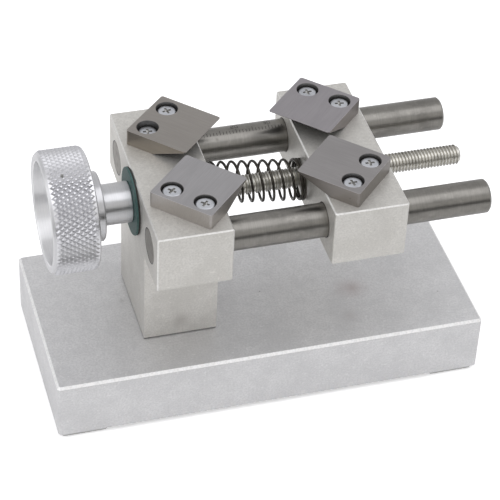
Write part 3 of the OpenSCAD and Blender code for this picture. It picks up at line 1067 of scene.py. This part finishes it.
def build_washer():
    """Fibre washer, near black round the half of its rim that lies against the jaw: partly a brown fibre
    edge, partly painted shadow of the gap.
    """
    bm = bmesh.new()
    radius = (WASHER_HI[2] - WASHER_LO[2]) / 2
    left, right = WASHER_LO[0], WASHER_HI[0]
    dark_from = (left + right) / 2
    profile = [
        (left, WASHER_HOLE_R), (left, radius - WASHER_EDGE), (left + WASHER_EDGE, radius),
        (dark_from, radius),
        (right - WASHER_EDGE, radius), (right, radius - WASHER_EDGE), (right, WASHER_HOLE_R),
    ]
    lathe(bm, profile, (0, 0, AXIS_Z), hollow=True)
    for face in bm.faces:
        middle = face.calc_center_median()
        on_rim = math.hypot(middle.y, middle.z - AXIS_Z) > radius - WASHER_EDGE
        if on_rim and middle.x > dark_from:
            face.material_index = WASHER_RIM
    piece = make_object("thrust_washer_detail", bm, (SKINS["fibre"], SKINS["fibre_rim"]))
    finish(piece, "base", "green_fibre", "thrust_washer")


# ---- spring


SPRING_TURNS = OPEN_COILS + 2 * CLOSED_COILS
COIL_TRAVEL = SPRING_HI[0] - SPRING_LO[0] - 2 * WIRE_R
OPEN_PITCH = (COIL_TRAVEL - 2 * CLOSED_COILS * CLOSED_PITCH) / OPEN_COILS
COIL_R = (SPRING_HI[2] - SPRING_LO[2]) / 2 - WIRE_R


def coil_point(turn):
    """Middle of the spring's wire after a number of turns. The coil leans on the lead screw."""
    opened = max(0, min(turn - CLOSED_COILS, OPEN_COILS))
    closed = min(turn, CLOSED_COILS) + max(0, turn - CLOSED_COILS - OPEN_COILS)
    along = opened * OPEN_PITCH + closed * CLOSED_PITCH
    lean = LEAN_START.lerp(LEAN_END, min(1, max(0, along / COIL_TRAVEL)))
    angle = 2 * math.pi * (turn + COIL_START)
    x = SPRING_LO[0] + WIRE_R + along
    return Vector((x, COIL_R * math.cos(angle), AXIS_Z + COIL_R * math.sin(angle))) + lean


def wire_ring(bm, turn):
    """Circle of vertices round the spring's wire after a number of turns."""
    small = 0.5 / COIL_STEPS
    ahead = coil_point(min(SPRING_TURNS, turn + small))
    behind = coil_point(max(0, turn - small))
    forwards = (ahead - behind).normalized()
    across = forwards.cross(Vector((1, 0, 0))).normalized()
    upright = across.cross(forwards)
    middle = coil_point(turn)
    row = []
    for k in range(WIRE_STEPS):
        angle = 2 * math.pi * k / WIRE_STEPS
        row.append(bm.verts.new(middle + WIRE_R * (math.cos(angle) * across + math.sin(angle) * upright)))
    return row


def build_spring():
    """Compression spring with closed coils at both ends."""
    bm = bmesh.new()
    rows = []
    weights = []
    for step in range(SPRING_TURNS * COIL_STEPS + 1):
        turn = step / COIL_STEPS
        rows.append(wire_ring(bm, turn))
        weights += [min(1, max(0, (turn - CLOSED_COILS) / OPEN_COILS))] * WIRE_STEPS
    loft(bm, rows)
    piece = make_object("return_spring_detail", bm, (SKINS["spring"],))
    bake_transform(piece)
    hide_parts("return_spring")


# ---- blades and screws


def at_blade(node, turn):
    """Matrix from a blade's own frame, with its knife side at +X, to its place."""
    lo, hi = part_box(node)
    place = Vector(((lo[0] + hi[0]) / 2, (lo[1] + hi[1]) / 2, lo[2]))
    return Matrix.Translation(place) @ Matrix.Rotation(math.radians(turn), 4, "Z")


def cut_bevel(bm):
    """Cuts a blade's underside to a slope that ends under its knife edge."""
    start = Vector((BLADE_HALF_W - BEVEL_W, 0, 0))
    slope = Vector((BLADE_HALF_W, 0, BLADE_H - EDGE_LAND)) - start
    # The slope takes the near-black bevel colour, which is painted shade
    for face in slice_off(bm, start, Vector((slope.z, 0, -slope.x))):
        face.material_index = BLADE_BEVEL


def build_blade(node, blade, screws):
    """Square steel blade with a bevel under its knife edge and two counterbores."""
    bm = bmesh.new()
    prism(bm, rounded_rectangle(BLADE_HALF_W, BLADE_HALF_W, BLADE_CORNER), 0, BLADE_H)
    cut_bevel(bm)
    for face in bm.faces:
        if face.material_index == BLADE_TOP and abs(face.normal.z) < 0.5:
            face.material_index = BLADE_SIDE
    bevel(bm, sharp_edges(bm, 35), EDGE_BREAK, BLADE_EDGE, 2)
    bm.transform(at_blade(node, blade.turn))
    top_skin = blade_steel(f"{node}_skin", blade.colour, blade.turn)
    # Broken edges get lighter steel, partly wear and partly a painted highlight
    edge_wear_and_highlight_skin = blade_steel(f"{node}_edge_wear_and_highlight_skin", scaled(blade.colour, EDGE_WEAR_AND_HIGHLIGHT), blade.turn)
    # The sides get a darker, warmer copy of the blade's steel: painted shade
    shaded_sides_colour = tuple(blade.side_shade * c * warm for c, warm in zip(blade.colour, SIDE_WARMTH))
    shaded_sides_skin = blade_steel(f"{node}_shaded_sides_skin", shaded_sides_colour, blade.turn)
    skins = (top_skin, edge_wear_and_highlight_skin, SKINS["bore"], SKINS["bevel"], shaded_sides_skin)
    piece = make_object(f"{node}_detail", bm, skins)
    bottom, top = (corner[2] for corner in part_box(node))
    profile = [
        (bottom - PAST_FACE, SHANK_HOLE_R),
        (top - COUNTERBORE_H, SHANK_HOLE_R),
        (top - COUNTERBORE_H, COUNTERBORE_R),
        (top - BORE_BREAK, COUNTERBORE_R),
        (top + PAST_FACE, COUNTERBORE_R + BORE_BREAK + PAST_FACE),
    ]
    for screw in screws:
        centre = centre_of(screw)
        cut(piece, hole_cutter(centre.x, centre.y, profile, ROUND_STEPS))
    finish(piece, blade.body, "blade_steel", node)


def cross_ring(bm, centre, length, width, turn):
    """Outline of a cross recess at one height."""
    corner = width * 0.35
    quarter = [(length, -width), (length, width), (width + corner, width), (width, width + corner)]
    row = []
    for k in range(4):
        rotation = Matrix.Rotation(math.radians(90 * k + turn), 2)
        for x, y in quarter:
            point = rotation @ Vector((x, y))
            row.append(bm.verts.new((centre[0] + point.x, centre[1] + point.y, centre[2])))
    return row


def build_blade_screw(node, body, turn, head_h):
    """Pan-head screw with a tapered cross recess."""
    centre = centre_of(node)
    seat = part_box(node)[1][2] - HEAD_BOX_H
    rounding = min(HEAD_ROUND, 0.6 * head_h)
    profile = [
        (-SHANK_L, SHANK_R - SHANK_TIP), (SHANK_TIP - SHANK_L, SHANK_R), (0, SHANK_R),
        (0, HEAD_R - HEAD_LOW_EDGE), (HEAD_LOW_EDGE, HEAD_R),
    ]
    for radius, along in arc((HEAD_R - rounding, head_h - rounding), rounding, 0, 80, 7):
        profile.append((along, radius))
    profile.append((head_h, HEAD_R - 1.5 * rounding))
    bm = bmesh.new()
    lathe(bm, profile, (centre.x, centre.y, seat), axis="Z", steps=HEAD_STEPS)
    skins = (SKINS["zinc"], SKINS["recess"])
    piece = make_object(f"{node}_detail", bm, skins)
    recess = bmesh.new()
    rows = []
    for rise, length, width in CROSS_RECESS:
        rows.append(cross_ring(recess, (centre.x, centre.y, seat + head_h + rise), length, width, turn))
    loft(recess, rows)
    # The recess takes the darker zinc, which is painted shade
    cut(piece, make_cutter(recess, RECESS, skins))
    finish(piece, body, "fastener_steel", node)


def build_base_screw(node):
    """Black socket-head screw, head down, in the base plate's counterbore."""
    lo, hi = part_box(node)
    centre = centre_of(node)
    head_r = (hi[0] - lo[0]) / 2
    tip = BASE_SCREW_TIP
    profile = [
        (lo[2], head_r - 3 * tip), (lo[2] + 0.1 * tip, head_r - 0.8 * tip), (lo[2] + 0.8 * tip, head_r),
        (lo[2] + BASE_HEAD_H, head_r), (lo[2] + BASE_HEAD_H, BASE_THREAD_R),
        (hi[2] - tip, BASE_THREAD_R), (hi[2], BASE_THREAD_R - tip),
    ]
    bm = bmesh.new()
    lathe(bm, profile, (centre.x, centre.y, 0), axis="Z", steps=HEAD_STEPS)
    piece = make_object(f"{node}_detail", bm, (SKINS["black"],))
    hex_r = HEX_HALF_W / math.cos(math.radians(30))
    socket = bmesh.new()
    rows = [
        ring(socket, (centre.x, centre.y, lo[2] - PAST_FACE), hex_r, "Z", 6),
        ring(socket, (centre.x, centre.y, lo[2] + HEX_DEPTH), hex_r, "Z", 6),
        ring(socket, (centre.x, centre.y, lo[2] + HEX_POINT), 0.3 * hex_r, "Z", 6),
    ]
    loft(socket, rows)
    cut(piece, make_object("cutter", socket))
    finish(piece, "base", "base_screw_steel", node)


# A blade: its body, the turn of its knife side, its colour, the painted shade of its sides as a share of its
# top's colour, and the turn of each screw's cross
Blade = namedtuple("Blade", "body turn colour side_shade crosses")

BLADES = {
    "fixed_front": Blade("base", 45, (0.43, 0.42, 0.427), 0.98, {"left": 42, "right": 48}),
    "fixed_back": Blade("base", -45, (0.365, 0.342, 0.318), 0.9, {"left": -6, "right": 12}),
    "moving_front": Blade("moving_jaw", 135, (0.37, 0.355, 0.353), 0.72, {"left": 8, "right": -4}),
    "moving_back": Blade("moving_jaw", -135, (0.385, 0.365, 0.38), 0.8, {"left": 3, "right": -8}),
}
LOW_SCREW = "blade_screw_fixed_back_left"


def head_height(place, screw):
    """How high a screw's head stands over its seat, as the photograph shows it."""
    if screw == LOW_SCREW:
        return LOW_HEAD_H
    return HIGH_HEAD_H if place == "fixed_front" else HEAD_H


def build_blades():
    """Four blades, each with its two screws."""
    for place, blade in BLADES.items():
        screws = {f"blade_screw_{place}_{end}": cross for end, cross in blade.crosses.items()}
        build_blade(f"blade_{place}", blade, screws)
        for screw, cross in screws.items():
            build_blade_screw(screw, blade.body, cross, head_height(place, screw))


# ---- camera, light and floor


def build_camera():
    """Camera above, in front and a little to the knob's side."""
    turned = (
        Matrix.Rotation(math.radians(CAMERA_AZIMUTH), 4, "Z")
        @ Matrix.Rotation(math.radians(90 - CAMERA_ELEVATION), 4, "X")
        @ Matrix.Rotation(math.radians(CAMERA_ROLL), 4, "Z")
    )
    data = bpy.data.cameras.new("photo_camera")
    data.sensor_width = CAMERA_SENSOR
    data.lens = CAMERA_LENS
    data.clip_start = CAMERA_CLIP
    camera = new_object("photo_camera", data)
    camera.matrix_world = Matrix.Translation(CAMERA_PLACE) @ turned
    bpy.context.scene.camera = camera


def softbox(name, place, width, length, power, colour):
    """Soft rectangular light at a place in metres, turned to the frame's origin."""
    data = bpy.data.lights.new(f"{name}_softbox", "AREA")
    data.shape = "RECTANGLE"
    data.size = length
    data.size_y = width
    data.energy = power
    data.color = colour
    light = new_object(f"{name}_softbox", data)
    light.location = place
    light.rotation_euler = Vector(place).to_track_quat("Z", "Y").to_euler()


def over_rods(tilt):
    """Place a metre over the rods, tilted towards the front by an angle in degrees."""
    angle = math.radians(tilt)
    return (0, -math.sin(angle), math.cos(angle))


def build_light():
    """Pale studio tent: an even world and three softboxes, above, in front and at the left."""
    world = bpy.data.worlds.new("tent")
    world.use_nodes = True
    background = world.node_tree.nodes["Background"]
    background.inputs["Color"].default_value = TENT_COLOUR
    background.inputs["Strength"].default_value = TENT_STRENGTH
    bpy.context.scene.world = world
    softbox("overhead", over_rods(OVERHEAD_TILT), width=0.75, length=1.8, power=4.2, colour=(0.97, 0.97, 1))
    softbox("front", over_rods(FRONT_TILT), width=0.45, length=1.8, power=0.45, colour=(1, 0.96, 0.85))
    softbox("left", (-1, 0.15, 0.5), width=0.6, length=0.8, power=1.1, colour=(1, 1, 1))


def build_floor():
    """White paper under the holder, which glows a little to the camera so that it stays white."""
    bm = bmesh.new()
    bmesh.ops.create_grid(bm, x_segments=1, y_segments=1, size=FLOOR_HALF_W)
    floor = make_object("studio_floor", bm)
    floor.location.z = -FLOOR_DROP
    paper = Finish("studio_paper", (0.93, 0.93, 0.93), roughness=0.9, metallic=0.0)
    paper.shader.inputs["Emission Color"].default_value = (1, 1, 1, 1)
    rays = paper.node("ShaderNodeLightPath")
    glow = paper.of_numbers("MULTIPLY", rays.outputs["Is Camera Ray"], PAPER_GLOW)
    paper.feed(paper.shader.inputs["Emission Strength"], glow)
    paper.tint(paper.noise(40), (0.92, 0.92, 0.92))
    floor.data.materials.append(paper.done())
    return floor


def build_dark_card():
    """Dark card in front of the holder, which only reflections see."""
    bm = bmesh.new()
    bmesh.ops.create_grid(bm, x_segments=1, y_segments=1, size=1)
    card = make_object("dark_card", bm)
    card.scale = (CARD_HALF_W, CARD_HALF_H, 1)
    card.rotation_euler = (math.radians(90), 0, 0)
    card.location = CARD_PLACE
    card.visible_camera = False
    card.visible_diffuse = False
    card.visible_shadow = False
    felt = Finish("dark_felt", (0.02, 0.02, 0.02), roughness=0.9, metallic=0.0)
    card.data.materials.append(felt.done())
    return card


build_camera()
build_light()
floor = build_floor()
card = build_dark_card()
bpy.context.scene.view_settings.view_transform = "Standard"
build_base_plate()
build_foot_pads()
build_fixed_jaw()
build_moving_jaw()
build_rods()
build_scale()
build_lead_screw()
build_knob()
build_washer()
build_spring()
build_blades()
for side in ("front", "back"):
    build_base_screw(f"base_screw_{side}")

bpy.context.view_layer.update()
